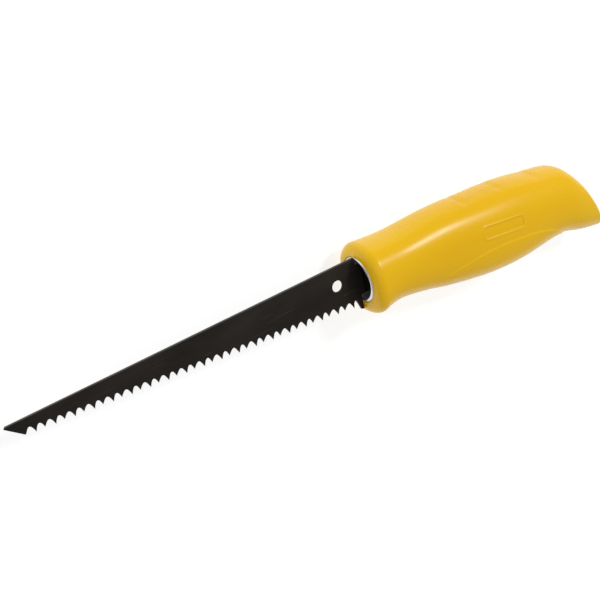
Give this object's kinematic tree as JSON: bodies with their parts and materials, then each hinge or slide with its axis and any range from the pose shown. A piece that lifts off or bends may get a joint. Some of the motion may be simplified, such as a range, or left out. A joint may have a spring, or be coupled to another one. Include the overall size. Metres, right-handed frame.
{
  "type": "drywall saw",
  "caption": "Drywall jab saw: tapered dark steel blade with coarse teeth and a plunge point, pinned by its tang into a glossy yellow moulded grip with a bright ferrule.",
  "frame": {"origin": "centre of the hang hole, half way through the thickness of the blade", "axes": "+X along the blade to its point, +Y from the spine to the toothed edge, +Z out of the left side face, which faces up when the saw lies on its side"},
  "size_m": [0.306, 0.0453, 0.032],
  "materials": {
    "blade_steel": "thin dark oven-blackened coat with fine grinding marks, bare steel at the ground tips",
    "grip_plastic": "glossy moulded",
    "ferrule_metal": "polished",
    "collar_plastic": "matte moulded",
    "pin_steel": "drawn"
  },
  "bodies": {
    "root": {"blade": "blade_steel", "handle_left": "grip_plastic", "handle_right": "grip_plastic", "ferrule": "ferrule_metal", "tang_collar": "collar_plastic", "tang_pins": "pin_steel"}
  },
  "joints": []
}
